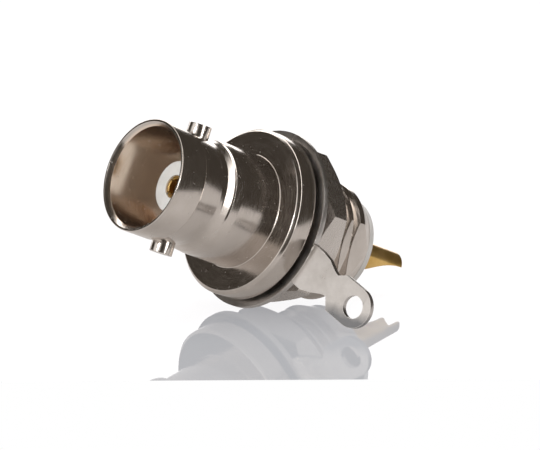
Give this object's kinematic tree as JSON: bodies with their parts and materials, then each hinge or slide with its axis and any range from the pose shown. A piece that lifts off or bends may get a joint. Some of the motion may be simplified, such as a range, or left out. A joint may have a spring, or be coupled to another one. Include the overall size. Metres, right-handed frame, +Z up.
{
  "type": "bnc connector",
  "caption": "Panel-mount coaxial bayonet socket with flange, flatted threaded shank, slotted gold centre contact with solder cup, ring solder tag and hex nut.",
  "frame": {"origin": "centre of the flange's rear face, which seats on the panel", "axes": "connector axis along Y with the mouth toward -Y and the solder cup toward +Y, +Z up through the upper bayonet lug, the flat of the threaded shank facing +X"},
  "size_m": [0.022, 0.0291, 0.0154],
  "materials": {
    "nickel": "bright nickel plate, brushed by turning",
    "nut_nickel": "satin nickel plate",
    "tin": "dull tin plate",
    "gold": "satin gold plate",
    "white_plastic": "waxy white"
  },
  "bodies": {
    "connector": {"shell": "nickel", "bayonet_lugs": "nickel", "front_insulator": "white_plastic", "centre_contact": "gold", "rear_insulator": "white_plastic"},
    "tag": {"solder_tag": "tin"},
    "nut": {"hex_nut": "nut_nickel"}
  },
  "joints": [
    {"name": "nut_travel", "type": "slide", "parent": "connector", "child": "tag", "axis": [0, 1, 0], "range_m": [-0.0004, 0.004]},
    {"name": "nut_turn", "type": "hinge", "parent": "tag", "child": "nut", "pos_m": [0, 0.0033, 0], "axis": [0, 1, 0], "range_deg": [-145, 1441]}
  ],
  "couplings": [
    {"joint": "nut_turn", "follows": "nut_travel", "rad_per_m": 6283.2}
  ]
}
